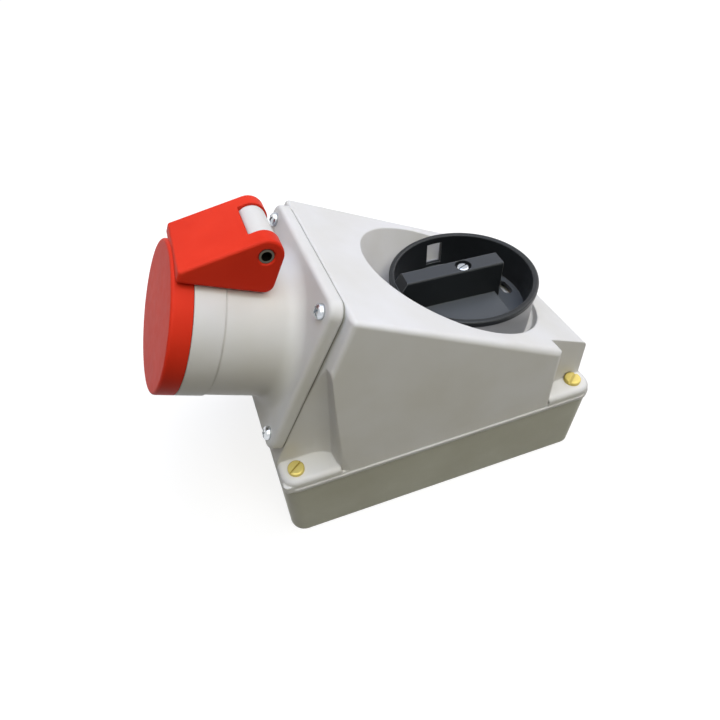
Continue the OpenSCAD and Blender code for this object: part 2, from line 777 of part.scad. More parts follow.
// Knob: open cup with a grip bar, a padlock window and a padlock slot
module knob() {
    lip = 1.1;
    lip_flat = 1.3;
    color(black) translate([knob_x, 0, 0]) rotate([0, 0, bar_turn]) difference() {
        union() {
            rotate_extrude($fn = 96) polygon(concat(
                [[0, cup_z - knob_floor], [knob_low_r - knob_wall, cup_z - knob_floor],
                [knob_low_r - knob_wall, knob_z], [knob_low_r, knob_z], [knob_r - 0.6, rim_z - 4],
                [knob_r, rim_z - 3.4]],
                arc(knob_r - lip, rim_z - lip, lip, 0, 90, 3),
                arc(knob_r - lip_flat - lip, rim_z - lip, lip, 90, 180, 3),
                [[cup_r, cup_z], [0, cup_z]]));
            translate([0, 0, knob_z + 0.3]) cylinder(r = hub_r, h = cup_z - knob_z - 1);
            grip_bar();
            near_step();
        }
        translate([0, 0, knob_z - 1])
            cylinder(r = spindle_r + seat_gap, h = spindle_top - knob_z + 1 + seat_gap);
        translate([0, 0, bar_z - knob_bore_d]) cylinder(r = knob_bore_r, h = far);
        translate([0, 0, knob_z]) cylinder(r = shank_r + free_gap, h = far);
        rotate([0, 0, window_angle]) translate([knob_r - 8, -window_w / 2, rim_z - window_drop - window_h])
            cube([20, window_w, window_h]);
        padlock_slot();
    }
}

// Grip across the cup: it slopes down into the cup's wall and stops short on the other side
module grip_bar() {
    base = bar_w / 2 + bar_draft;
    top = bar_w / 2;
    round = 1.4;
    root = cup_z - 1;
    heel = bar_left - 5;
    intersection() {
        rotate([90, 0, 90]) translate([0, 0, -far / 2]) linear_extrude(far) polygon(concat(
            [[-base, root], [base, root]],
            arc(top - round, bar_z - round, round, 0, 90, 4),
            arc(-top + round, bar_z - round, round, 90, 180, 4)));
        rotate([90, 0, 0]) translate([0, 0, -bar_w]) linear_extrude(2 * bar_w) polygon([
            [-bar_left, root - 1], [bar_right, root - 1], [bar_right, bar_z + 1], [-heel + 0.8, bar_z + 1],
            [-bar_left, rim_z - 2]]);
    }
}

// Raised part of the cup's floor on one side of the grip
module near_step() {
    half = bar_w / 2;
    reach = cup_r + 0.5;
    translate([0, 0, cup_z - 1]) linear_extrude(step_h + 1) polygon(concat(
        arc(0, 0, reach, 180 + asin(half / reach), 360 - acos(step_end / reach), 24), [[step_end, -half]]));
}

// Curved slot through the cup's floor, with round ends
module padlock_slot() {
    w = slot_half_w;
    translate([0, 0, knob_z]) linear_extrude(cup_z + 1 - knob_z) polygon(concat(
        arc(0, 0, slot_r + w, slot_from, slot_to, 6),
        arc(slot_r * cos(slot_to), slot_r * sin(slot_to), w, slot_to + 15, slot_to + 165, 6),
        arc(0, 0, slot_r - w, slot_to, slot_from, 6),
        arc(slot_r * cos(slot_from), slot_r * sin(slot_from), w, slot_from + 195, slot_from + 345, 6)));
}

module knob_screw() {
    color(zinc) translate([knob_x, 0, bar_z - knob_bore_d]) rotate([0, 0, 20])
        screw(screw_head_r, screw_head_h, shank_r, bar_z - knob_bore_d - spindle_top + 8, 1.4, 1);
}

module switch_spindle() {
    color(zinc) translate([knob_x, 0, 0]) difference() {
        translate([0, 0, spindle_low]) cylinder(r = spindle_r, h = spindle_top - spindle_low);
        translate([0, 0, spindle_top - 9]) cylinder(r = shank_r + seat_gap, h = far);
    }
}

module spindle_seal() {
    cord = 1.2;
    color(rubber) translate([knob_x, 0, recess_z - 2.5 + cord]) rotate_extrude()
        translate([spindle_r + run_gap + cord, 0]) circle(r = cord, $fn = fine);
}

// Isolator: stepped block with a bay for each terminal
terminal_n = 4;
terminal_pitch = 11;
bay_w = 8.6;
bay_d = 11;
bay_h = 12;
clamp_w = 8;
clamp_h = 8;
function terminal_x(i) = (i - (terminal_n - 1) / 2) * terminal_pitch;
bay_z = switch_z + switch_h * 0.55;

module at_terminals() {
    for (i = [0 : terminal_n - 1], j = [0, 1])
        translate([knob_x + terminal_x(i), 0, 0]) mirror([0, j, 0])
            translate([0, switch_w / 2, bay_z]) children();
}

module switch_body() {
    neck = 3;
    color(black) difference() {
        union() {
            translate([knob_x, 0, switch_z]) plate(switch_l, switch_w, 2, switch_h - neck);
            translate([knob_x, 0, switch_top - neck - eps]) cylinder(r = switch_l / 2 - 6, h = neck + eps);
        }
        translate([knob_x, 0, spindle_low - 1]) cylinder(r = spindle_r + run_gap, h = far);
        at_terminals() translate([-bay_w / 2, -bay_d, 0]) cube([bay_w, bay_d + 1, bay_h]);
        at_terminals() translate([0, -bay_d / 2, 0]) cylinder(r = 3, h = far);
    }
}

module switch_terminals() {
    color(brass) at_terminals() difference() {
        translate([-clamp_w / 2, -bay_d + seat_gap, seat_gap]) cube([clamp_w, bay_d - 1, clamp_h]);
        translate([0, -bay_d / 2 - 2, 3.4]) rotate([-90, 0, 0]) cylinder(r = 2, h = far);
        translate([0, -bay_d / 2, 3]) cylinder(r = clamp_r + seat_gap, h = far);
    }
}

module terminal_screws() {
    color(zinc) at_terminals() translate([0, -bay_d / 2, clamp_h + seat_gap]) clamp_screw(clamp_l);
}

// Disc with a spiral slot: the slot's radius grows evenly as the knob turns
function spiral_r(turn) = cam_r0 + bolt_travel * turn / 90;
function spiral_lean(turn) = atan(bolt_travel * 2 / PI / spiral_r(turn));
function spiral(side, over = 15, n = 30) = [for (i = [0 : n])
    let (turn = -over + (90 + 2 * over) * i / n)
    let (r = spiral_r(turn) + side * (follower_r + slide_gap) / cos(spiral_lean(turn)))
    [r * cos(180 - turn), r * sin(180 - turn)]];
function turned_over(list) = [for (i = [len(list) - 1 : -1 : 0]) list[i]];

module interlock_cam() {
    color(zinc) translate([knob_x, 0, cam_z]) difference() {
        union() {
            cylinder(r = cam_r, h = cam_t);
            translate([0, 0, -1.6]) cylinder(r = hub_r - 1, h = cam_t + 1.6);
        }
        translate([0, 0, -5]) cylinder(r = spindle_r + seat_gap, h = far);
        translate([0, 0, -1]) linear_extrude(cam_t + 2) polygon(concat(spiral(1), turned_over(spiral(-1))));
    }
}

// Flat bolt with a follower pin in the spiral slot and a bevelled nose
module interlock_bolt() {
    tail = knob_x - cam_r0 + follower_r + 2;
    color(zinc) {
        translate([0, 0, bolt_z]) linear_extrude(bolt_t) polygon([
            [tail, -bolt_w / 2], [tail, bolt_w / 2], [bolt_nose + 5, bolt_w / 2], [bolt_nose, bolt_w / 4],
            [bolt_nose, -bolt_w / 4], [bolt_nose + 5, -bolt_w / 2]]);
        translate([knob_x - cam_r0, 0, cam_z + 0.5])
            cylinder(r = follower_r, h = bolt_z - cam_z - 0.5 + eps);
    }
}

module guide_pegs(grow, depth) {
    out = bolt_w / 2 + guide_wall / 2 + slide_gap;
    for (j = [-1, 1]) translate([guide_x + guide_l / 2, j * out, cup_under - eps])
        cylinder(r = peg_r + grow, h = depth + grow);
}

// Guide that hangs under the knob recess and steers the bolt
module bolt_guide() {
    half = bolt_w / 2 + slide_gap + guide_wall;
    low = bolt_z - slide_gap - 2.5;
    color(grey) {
        difference() {
            translate([guide_x, -half, low]) cube([guide_l, 2 * half, cup_under - low]);
            translate([guide_x - 1, -bolt_w / 2 - slide_gap, bolt_z - slide_gap])
                cube([guide_l + 2, bolt_w + 2 * slide_gap, bolt_t + 2 * slide_gap]);
        }
        guide_pegs(0, 1.8);
    }
}

// Top-hat rail on the base's floor
module mounting_rail() {
    half = rail_w / 2;
    foot = half - rail_rim;
    under = rail_h - rail_t;
    color(zinc) difference() {
        translate([knob_x, rail_l / 2, base_floor]) rotate([90, 0, 0]) linear_extrude(rail_l) polygon([
            [-half, under], [-foot, under], [-foot, 0], [foot, 0], [foot, under], [half, under],
            [half, rail_h], [foot - rail_t, rail_h], [foot - rail_t, rail_t], [-foot + rail_t, rail_t],
            [-foot + rail_t, rail_h], [-half, rail_h]]);
        at_rail_ends() cylinder(r = rail_boss_r + seat_gap, h = far);
    }
}

module at_rail_ends() {
    for (j = [-1, 1]) translate([knob_x, j * (rail_l / 2 - rail_end), 0]) children();
}

module rail_screws() {
    color(zinc) at_rail_ends() translate([0, 0, base_floor + rail_h - rail_t])
        screw(rail_head_r, rail_head_h, shank_r, rail_screw_l, rail_head_edge, rail_slot);
}

// Earth bar with clamp screws
earth_x = -50;
earth_y = -38;
earth_l = 36;
earth_w = 8;
earth_h = 9;
earth_pitch = 12;
pad_h = 4;

module at_earth_clamps(z) {
    for (i = [-1 : 1]) translate([earth_x + i * earth_pitch, earth_y, base_floor + pad_h + z]) children();
}

module earth_terminal() {
    wire_r = 2.4;
    color(brass) difference() {
        translate([earth_x - earth_l / 2, earth_y - earth_w / 2, base_floor + pad_h])
            cube([earth_l, earth_w, earth_h]);
        at_earth_clamps(earth_h / 2 - 0.5) {
            rotate([90, 0, 0]) cylinder(r = wire_r, h = 2 * earth_w, center = true);
            cylinder(r = clamp_r + seat_gap, h = earth_h);
        }
    }
}

module earth_screws() {
    color(zinc) at_earth_clamps(earth_h) clamp_screw(clamp_l);
}

base_box();
base_gasket();
cover_inserts();
housing_cover();
cover_screws();
socket_body();
flange_gasket();
flange_screws();
contact_insert();
carrier_plate();
phase_contacts();
earth_contact();
contact_screws();
insert_screws();
lid();
lid_seal();
hinge_pin();
lid_spring();
knob();
knob_screw();
switch_spindle();
spindle_seal();
switch_body();
switch_terminals();
terminal_screws();
interlock_cam();
interlock_bolt();
bolt_guide();
mounting_rail();
rail_screws();
earth_terminal();
earth_screws();
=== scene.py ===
"""Looks of an industrial socket with an interlocked switch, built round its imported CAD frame.

Every form comes from the CAD nodes. This script gives them their materials and an even shading, and adds the
floor, the lamps and the camera.
"""

import logging
import math
from dataclasses import dataclass, field, replace
from enum import Enum
from typing import Any

import bmesh
import bpy
from mathutils import Matrix, Vector

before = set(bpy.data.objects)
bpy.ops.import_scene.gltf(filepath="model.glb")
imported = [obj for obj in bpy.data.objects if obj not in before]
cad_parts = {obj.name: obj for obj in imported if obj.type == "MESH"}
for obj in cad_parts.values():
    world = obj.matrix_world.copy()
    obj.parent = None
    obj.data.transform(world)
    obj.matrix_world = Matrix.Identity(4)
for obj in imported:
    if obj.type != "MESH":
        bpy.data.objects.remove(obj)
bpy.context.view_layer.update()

LOG = logging.getLogger("scene")
MM = 0.001
WHITE = "#FFFFFF"

# Factors that keep a place in plan and drop its height.
IN_PLAN = (1.0, 1.0, 0.0)

# Numbers of a Mix node's colour sockets, whose names stand for several kinds of value.
MIX_SHARE, MIX_FIRST, MIX_SECOND, MIX_RESULT = 0, 6, 7, 2


class Surface(Enum):
    """Kinds of surface, each with its own shader settings."""

    PLASTIC = "plastic"
    METAL = "metal"
    RUBBER = "rubber"


def linear(code: str) -> tuple[float, float, float, float]:
    """Turns an sRGB hex colour into linear RGBA.

    Args:
        code: Colour such as "#D8392B".

    Returns:
        Linear red, green, blue and alpha.
    """
    parts = [int(code.lstrip("#")[i:i + 2], 16) / 255 for i in (0, 2, 4)]
    rgb = [c / 12.92 if c <= 0.04045 else ((c + 0.055) / 1.055) ** 2.4 for c in parts]
    return (rgb[0], rgb[1], rgb[2], 1.0)


def per_metre(size_mm: float) -> float:
    """Gives the texture scale at which one feature has a real size.

    Args:
        size_mm: Size of one feature.

    Returns:
        Features per metre.
    """
    return 1.0 / (size_mm * MM)


@dataclass(frozen=True)
class PaintedLight:
    """Paler painted light on part of a round piece: a painted sheen, reflection and lit patch laid into the
    colour.

    Attributes:
        colour: Colour of the painted light in hex.
        axis_mm: Place of the piece's upright axis.
        reach_mm: Radius where the painted light starts and where it is full.
        height_mm: Height where the painted light starts and where it is full.
        lying: Whether only faces that look up take it.
        upright: Upward share of the normal where a face starts to count as lying, and where it does fully.
    """

    colour: str
    axis_mm: tuple[float, float]
    reach_mm: tuple[float, float]
    height_mm: tuple[float, float]
    lying: bool = False
    upright: tuple[float, float] = (0.8, 0.95)


@dataclass(frozen=True)
class Finish:
    """Look of one material.

    Attributes:
        name: Material name.
        surface: Kind of surface.
        colour: Main colour in hex.
        tint: Second colour, for slow variation.
        painted_shade: Colour of the painted shade that darkens corners.
        rough: Lowest and highest roughness.
        grain_mm: Size of the fine grain.
        grain_depth_mm: Height of the fine grain.
        edge_mm: Softening of hard edges.
        ior: Index of refraction, where the material isn't a metal.
        gloss: Strength of the plain reflection, where 0.5 is that of a polished face.
        wear_and_highlight: Colour of rubbed edges, which on the knob is a painted highlight, or nothing to take
            the tint.
        cloud_mm: Size of the slow variation.
        painted_lights: Painted light, sheen and reflection on parts of a round piece.
    """

    name: str
    surface: Surface
    colour: str
    tint: str
    painted_shade: str
    rough: tuple[float, float]
    grain_mm: float
    grain_depth_mm: float
    edge_mm: float
    ior: float = 1.5
    gloss: float = 0.5
    wear_and_highlight: str = ""
    cloud_mm: float = 45.0
    painted_lights: tuple[PaintedLight, ...] = ()


# A mould's spark-eroded grain is about 0.1 mm across. That is too fine for the render, so the plastics' grain is
# drawn at 0.7 to 0.9 mm.

# Light grey ABS, moulded: a soft satin with broad, weak highlights and edges that look rounded.
COVER_ABS = Finish("moulded_abs_light_grey", Surface.PLASTIC, "#DAD9DA", "#D3D1CE", "#8E8A7C",
                   (0.36, 0.46), 0.9, 0.01, 1.4, ior=1.54, gloss=0.25)

# Grey ABS of the base, moulded with a coarser grain: the cover's grey made darker and warmer as painted shade on
# the box's lower half, and duller.
BASE_ABS_SHADED = Finish("moulded_abs_grey_painted_shade", Surface.PLASTIC, "#BDBDB0", "#B2B1A2", "#77745F",
                  (0.38, 0.5), 0.9, 0.012, 1.1, ior=1.54, gloss=0.2)

# Red polycarbonate, coloured through and moulded: a strong even colour with hardly any sheen.
LID_POLYCARBONATE = Finish("moulded_polycarbonate_red", Surface.PLASTIC, "#DD3823", "#D2301C", "#7A130C",
                           (0.46, 0.52), 0.8, 0.003, 0.8, ior=1.58, gloss=0.06)

# Black glass-filled nylon, moulded: near black, with edges that rub pale and carry a painted highlight.
KNOB_NYLON = Finish("moulded_nylon_black", Surface.PLASTIC, "#1A1C1F", "#202326", "#0A0B0C",
                    (0.34, 0.44), 0.7, 0.01, 0.5, ior=1.53, gloss=0.22, wear_and_highlight="#D4D6D8")

# Dark polyester moulding compound: the plain, dull body of switches and contact carriers.
INSULATOR_POLYESTER = Finish("moulded_polyester_dark", Surface.PLASTIC, "#222325", "#2B2C2E", "#0E0E0F",
                             (0.42, 0.55), 0.8, 0.01, 0.4, ior=1.55)

# Turned brass, dulled by air: pale yellow with a broad highlight.
BRASS = Finish("turned_brass", Surface.METAL, "#CDBE78", "#BFAE62", "#6E6030", (0.5, 0.62), 0.35, 0.006, 0.2)

# Zinc plated steel: bright bluish white with small sharp highlights.
ZINC = Finish("zinc_plated_steel", Surface.METAL, "#D4D7DA", "#B4BAC2", "#6C7178", (0.16, 0.3), 0.4, 0.004, 0.2)

# Drawn steel tube, oiled: dull dark grey with a warm cast.
STEEL = Finish("drawn_steel", Surface.METAL, "#5E5A50", "#4E4A42", "#22201D", (0.34, 0.46), 0.4, 0.004, 0.2)

# Cellular rubber, cut from sheet: a flat mid grey with no highlight.
SHEET_RUBBER = Finish("cut_rubber_sheet", Surface.RUBBER, "#8F8F88", "#86867F", "#55554F",
                      (0.66, 0.78), 0.6, 0.01, 0.2, ior=1.52)

# Nitrile rubber, moulded: dark and dull, with a faint sheen at its edges.
SEAL_RUBBER = Finish("moulded_nitrile_rubber", Surface.RUBBER, "#2B2C2D", "#363738", "#141415",
                     (0.62, 0.76), 0.6, 0.01, 0.2, ior=1.52)


class NodeTree:
    """Shader node tree that one small function fills."""

    def __init__(self, tree: bpy.types.NodeTree) -> None:
        """Clears a node tree and keeps it.

        Args:
            tree: Tree to fill.
        """
        self.tree = tree
        tree.nodes.clear()

    def add(self, kind: str, inputs: Any = (), **settings: Any) -> bpy.types.NodeOutputs:
        """Adds one node with its settings and links.

        Args:
            kind: Blender's node type.
            inputs: Values in the order of the sockets, or a table of socket name or number to value. A value that
                is an output socket is linked.
            **settings: Node properties.

        Returns:
            The new node's outputs.
        """
        node = self.tree.nodes.new(kind)
        for key, value in settings.items():
            setattr(node, key, value)
        for key, value in inputs.items() if isinstance(inputs, dict) else enumerate(inputs):
            if isinstance(value, bpy.types.NodeSocket):
                self.tree.links.new(value, node.inputs[key])
            else:
                node.inputs[key].default_value = value
        return node.outputs


@dataclass
class MaterialShop:
    """Makes each finish's material once.

    Attributes:
        made: Materials by finish name.
        edge_samples: Rays that soften an edge.
        edge_turn: Cosine of a softened edge's turn where its wear and painted highlight start, and where they are
            full.
        edge_share: Most wear and painted highlight on an edge.
        cloud_detail: Octaves of the slow variation.
        cloud_span: Noise value where the tint starts, and where it is full.
        scuff_detail: Octaves of the scuffs.
        scuff_span: Noise value of the lowest and of the highest roughness.
        scuffs_per_cloud: How many times finer the scuffs are than the slow variation.
        hollow_samples: Rays that feel for a corner.
        hollow_mm: How far a corner is felt.
        hollow_span: Openness where a corner's painted shade starts, and where it is full.
        painted_shade_share: Most painted shade in a corner.
        grain_detail: Octaves of the grain.
        grain_strength: Strength of the grain.
        sheen: Sheen of rubber.
    """

    made: dict[str, bpy.types.Material] = field(default_factory=dict)
    edge_samples: int = 4
    edge_turn: tuple[float, float] = (0.99, 0.8)
    edge_share: float = 0.35
    cloud_detail: float = 3.0
    cloud_span: tuple[float, float] = (0.35, 0.65)
    scuff_detail: float = 4.0
    scuff_span: tuple[float, float] = (0.3, 0.7)
    scuffs_per_cloud: float = 9.0
    hollow_samples: int = 6
    hollow_mm: float = 3.0
    hollow_span: tuple[float, float] = (0.6, 0.15)
    painted_shade_share: float = 0.3
    grain_detail: float = 2.0
    grain_strength: float = 0.6
    sheen: float = 0.15

    def get(self, finish: Finish) -> bpy.types.Material:
        """Gives the material of a finish.

        Args:
            finish: Look to build.

        Returns:
            The material.
        """
        if finish.name not in self.made:
            self.made[finish.name] = self._build(finish)
        return self.made[finish.name]

    def _build(self, finish: Finish) -> bpy.types.Material:
        """Builds the nodes of one finish.

        Args:
            finish: Look to build.

        Returns:
            The new material.
        """
        material = bpy.data.materials.new(finish.name)
        material.use_nodes = True
        tree = NodeTree(material.node_tree)
        place = tree.add("ShaderNodeTexCoord")["Object"]
        normal = tree.add("ShaderNodeNewGeometry")["Normal"]
        soft = tree.add("ShaderNodeBevel", {"Radius": finish.edge_mm * MM}, samples=self.edge_samples)[0]
        colour = self._colour(tree, finish, place, normal, soft)
        scuff_mm = finish.cloud_mm / self.scuffs_per_cloud
        scuff = tree.add("ShaderNodeTexNoise", {"Vector": place, "Detail": self.scuff_detail,
                                                "Scale": per_metre(scuff_mm)})[0]
        rough = tree.add("ShaderNodeMapRange", (scuff, *self.scuff_span, *finish.rough))[0]
        grain = tree.add("ShaderNodeTexNoise", {"Vector": place, "Detail": self.grain_detail,
                                                "Scale": per_metre(finish.grain_mm)})[0]
        bump = tree.add("ShaderNodeBump", {"Height": grain, "Normal": soft, "Strength": self.grain_strength,
                                           "Distance": finish.grain_depth_mm * MM})[0]
        inputs: dict[str, Any] = {"Base Color": colour, "Roughness": rough, "Normal": bump}
        if finish.surface is Surface.METAL:
            inputs["Metallic"] = 1.0
        else:
            inputs["IOR"] = finish.ior
            inputs["Specular IOR Level"] = finish.gloss
        if finish.surface is Surface.RUBBER:
            inputs["Sheen Weight"] = self.sheen
        shader = tree.add("ShaderNodeBsdfPrincipled", inputs)[0]
        tree.add("ShaderNodeOutputMaterial", (shader,))
        return material

    def _colour(self, tree: NodeTree, finish: Finish, place: bpy.types.NodeSocket, normal: bpy.types.NodeSocket,
                soft: bpy.types.NodeSocket) -> bpy.types.NodeSocket:
        """Mixes a finish's colour with its variation, edge wear and painted highlight, painted light, and painted
        shade in corners.

        Args:
            tree: Tree to fill.
            finish: Look to build.
            place: Object coordinates in metres.
            normal: True normal.
            soft: Normal with softened edges.

        Returns:
            The colour.
        """
        cloud = tree.add("ShaderNodeTexNoise", {"Vector": place, "Detail": self.cloud_detail,
                                                "Scale": per_metre(finish.cloud_mm)})[0]
        share = tree.add("ShaderNodeMapRange", (cloud, *self.cloud_span))[0]
        tinted = {MIX_SHARE: share, MIX_FIRST: linear(finish.colour), MIX_SECOND: linear(finish.tint)}
        colour = tree.add("ShaderNodeMix", tinted, data_type="RGBA")[MIX_RESULT]
        # Edge wear, which on the knob is a pale painted highlight: softened edges mix towards the rubbed-edge
        # colour.
        turn = tree.add("ShaderNodeVectorMath", (soft, normal), operation="DOT_PRODUCT")["Value"]
        edge = tree.add("ShaderNodeMapRange", (turn, *self.edge_turn, 0.0, self.edge_share))[0]
        worn_and_lit = {MIX_SHARE: edge, MIX_FIRST: colour, MIX_SECOND: linear(finish.wear_and_highlight or finish.tint)}
        colour = tree.add("ShaderNodeMix", worn_and_lit, data_type="RGBA")[MIX_RESULT]
        # Painted light: paler patches that stand for a sheen, a reflection and lit faces on parts of round
        # pieces.
        for patch_of_light in finish.painted_lights:
            colour = self._paint_light(tree, patch_of_light, place, normal, colour)
        # Painted shade: where the ambient occlusion finds a corner, the colour darkens towards the finish's shade
        # colour.
        hollow = tree.add("ShaderNodeAmbientOcclusion", {"Distance": self.hollow_mm * MM},
                          samples=self.hollow_samples)["AO"]
        painted_shade = tree.add("ShaderNodeMapRange", (hollow, *self.hollow_span, 0.0, self.painted_shade_share))[0]
        shaded_mix = {MIX_SHARE: painted_shade, MIX_FIRST: colour, MIX_SECOND: linear(finish.painted_shade)}
        return tree.add("ShaderNodeMix", shaded_mix, data_type="RGBA")[MIX_RESULT]

    @staticmethod
    def _paint_light(tree: NodeTree, patch_of_light: PaintedLight, place: bpy.types.NodeSocket, normal: bpy.types.NodeSocket,
               colour: bpy.types.NodeSocket) -> bpy.types.NodeSocket:
        """Lays a patch of painted light over a colour.

        Args:
            tree: Tree to fill.
            patch_of_light: Painted light to lay.
            place: Object coordinates in metres.
            normal: True normal.
            colour: Colour below the painted light.

        Returns:
            The new colour.
        """
        axis = (patch_of_light.axis_mm[0] * MM, patch_of_light.axis_mm[1] * MM, 0.0)
        level = tree.add("ShaderNodeVectorMath", (place, IN_PLAN), operation="MULTIPLY")[0]
        radius = tree.add("ShaderNodeVectorMath", (level, axis), operation="DISTANCE")["Value"]
        height = tree.add("ShaderNodeSeparateXYZ", (place,))["Z"]
        within = tree.add("ShaderNodeMapRange", (radius, *(limit * MM for limit in patch_of_light.reach_mm)))[0]
        at_height = tree.add("ShaderNodeMapRange", (height, *(limit * MM for limit in patch_of_light.height_mm)))[0]
        share = tree.add("ShaderNodeMath", (within, at_height), operation="MULTIPLY")[0]
        if patch_of_light.lying:
            upward = tree.add("ShaderNodeSeparateXYZ", (normal,))["Z"]
            lies = tree.add("ShaderNodeMapRange", (upward, *patch_of_light.upright))[0]
            share = tree.add("ShaderNodeMath", (share, lies), operation="MULTIPLY")[0]
        lit_mix = {MIX_SHARE: share, MIX_FIRST: colour, MIX_SECOND: linear(patch_of_light.colour)}
        return tree.add("ShaderNodeMix", lit_mix, data_type="RGBA")[MIX_RESULT]


@dataclass
class SubAssembly:
    """Group of CAD pieces that are dressed together.

    Attributes:
        shop: Maker of the materials.
        moulded: Pieces whose small facets are shaded as one curved face.
        weld_mm: Distance within which corners of facets are joined.
        crease_deg: Angle from which an edge stays hard.
        face_weight: How much large faces count in the shading.
        face_step: Difference of area below which faces count the same.
    """

    shop: MaterialShop
    moulded: tuple[str, ...] = ()
    weld_mm: float = 0.002
    crease_deg: float = 24.0
    face_weight: int = 90
    face_step: float = 0.002

    def looks(self) -> dict[Finish, tuple[str, ...]]:
        """Gives each finish its pieces."""
        return {}

    def dress(self) -> None:
        """Puts the finishes on the pieces and evens their shading."""
        for finish, names in self.looks().items():
            for name in names:
                self._coat(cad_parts[name], finish)
                LOG.info("%s: %s in %s", type(self).__name__, name, finish.name)
        for name in self.moulded:
            self._even(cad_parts[name])

    def _coat(self, piece: bpy.types.Object, finish: Finish) -> None:
        """Gives every slot of a piece one material.

        Args:
            piece: CAD node.
            finish: Look of the piece.
        """
        material = self.shop.get(finish)
        for slot in piece.material_slots:
            slot.material = material
        if not piece.material_slots:
            piece.data.materials.append(material)

    def _even(self, piece: bpy.types.Object) -> None:
        """Shades small facets as one curved face and keeps flat faces flat.

        Args:
            piece: CAD node.
        """
        weld = piece.modifiers.new("weld", "WELD")
        weld.merge_threshold = self.weld_mm * MM
        split = piece.modifiers.new("split", "EDGE_SPLIT")
        split.split_angle = math.radians(self.crease_deg)
        split.use_edge_sharp = False
        weigh = piece.modifiers.new("weigh", "WEIGHTED_NORMAL")
        weigh.weight = self.face_weight
        weigh.thresh = self.face_step


@dataclass
class WallBox(SubAssembly):
    """Base and cover of the box, with their seal and corner screws."""

    moulded: tuple[str, ...] = ("base_box", "housing_cover", "base_gasket")

    def looks(self) -> dict[Finish, tuple[str, ...]]:
        """Gives each finish its pieces."""
        return {COVER_ABS: ("housing_cover",), BASE_ABS_SHADED: ("base_box",), SEAL_RUBBER: ("base_gasket",),
                BRASS: ("cover_screws", "cover_inserts")}


@dataclass
class PlugSocket(SubAssembly):
    """Flange and barrel with the contact carrier behind them."""

    moulded: tuple[str, ...] = ("socket_body",)

    def looks(self) -> dict[Finish, tuple[str, ...]]:
        """Gives each finish its pieces."""
        return {COVER_ABS: ("socket_body",), SHEET_RUBBER: ("flange_gasket",),
                INSULATOR_POLYESTER: ("contact_insert", "carrier_plate"),
                BRASS: ("phase_contacts", "earth_contact"),
                ZINC: ("flange_screws", "contact_screws", "insert_screws")}


@dataclass
class SprungLid(SubAssembly):
    """Lid on its hinge, with its seal ring and spring."""

    moulded: tuple[str, ...] = ("lid",)

    def looks(self) -> dict[Finish, tuple[str, ...]]:
        """Gives each finish its pieces."""
        return {LID_POLYCARBONATE: ("lid",), SEAL_RUBBER: ("lid_seal",), ZINC: ("lid_spring",),
                STEEL: ("hinge_pin",)}


@dataclass
class RotarySwitch(SubAssembly):
    """Knob, spindle and isolator on its rail.

    Attributes:
        axis_mm: Place of the knob's axis.
        skirt_mm: Radius where the skirt's painted reflection starts, and where it is full.
        rim_mm: Height of the rim's lower edge, where the skirt's painted reflection starts, and where it is full.
        ledge_reach_mm: Radius where the painted light on the cup's floor starts, and where it is full.
        ledge_mm: Height where the painted light on the cup's floor starts, and where it is full.
        bar_reach_mm: Radius where the painted sheen on the grip bar's top starts, and where it is full.
        bar_mm: Height where the painted sheen on the grip bar's top starts, and where it is full.
        skirt_painted_reflection: Colour of the painted reflection on the skirt in hex.
        ledge_painted_light: Colour of the painted light on the cup's floor in hex.
        bar_painted_sheen: Colour of the painted sheen on the grip bar's top in hex.
    """

    axis_mm: tuple[float, float] = (38.8, 0.0)
    skirt_mm: tuple[float, float] = (41.4, 42.4)
    rim_mm: tuple[float, float] = (109.3, 108.3)
    ledge_reach_mm: tuple[float, float] = (39.8, 39.2)
    ledge_mm: tuple[float, float] = (98.8, 98.5)
    bar_reach_mm: tuple[float, float] = (38.0, 37.0)
    bar_mm: tuple[float, float] = (100.0, 102.0)
    skirt_painted_reflection: str = "#A0A1A6"
    ledge_painted_light: str = "#4E5155"
    bar_painted_sheen: str = "#383B40"

    def knob_finish(self) -> Finish:
        """Gives the knob's nylon painted light: a painted reflection on its skirt, painted light on its cup floor
        and a painted sheen on its grip bar's top.

        Returns:
            The knob's finish.
        """
        # Painted light on the knob: a pale painted reflection on the skirt below the rim, paler painted light on
        # the cup's floor and a grey painted sheen on the grip bar's top.
        skirt = PaintedLight(self.skirt_painted_reflection, self.axis_mm, self.skirt_mm, self.rim_mm)
        ledge = PaintedLight(self.ledge_painted_light, self.axis_mm, self.ledge_reach_mm, self.ledge_mm, lying=True)
        bar = PaintedLight(self.bar_painted_sheen, self.axis_mm, self.bar_reach_mm, self.bar_mm, lying=True)
        return replace(KNOB_NYLON, painted_lights=(skirt, ledge, bar))

    def looks(self) -> dict[Finish, tuple[str, ...]]:
        """Gives each finish its pieces."""
        return {self.knob_finish(): ("knob",), INSULATOR_POLYESTER: ("switch_body",),
                BRASS: ("switch_terminals",), SEAL_RUBBER: ("spindle_seal",),
                ZINC: ("knob_screw", "switch_spindle", "terminal_screws", "mounting_rail", "rail_screws")}


@dataclass
class Interlock(SubAssembly):
    """Cam and bolt that hold the plug while the switch is on."""

    def looks(self) -> dict[Finish, tuple[str, ...]]:
        """Gives each finish its pieces."""
        return {COVER_ABS: ("bolt_guide",), ZINC: ("interlock_cam", "interlock_bolt")}


@dataclass
class EarthBar(SubAssembly):
    """Earth terminal on the floor of the base."""

    def looks(self) -> dict[Finish, tuple[str, ...]]:
        """Gives each finish its pieces."""
        return {BRASS: ("earth_terminal",), ZINC: ("earth_screws",)}


@dataclass(frozen=True)
class Lamp:
    """Soft square lamp that looks at the object.

    Attributes:
        name: Lamp's name.
        place: Position in metres.
        size: Side in metres.
        power: Watts.
        colour: Colour of the light in hex.
    """

    name: str
    place: tuple[float, float, float]
    size: float
    power: float
    colour: str


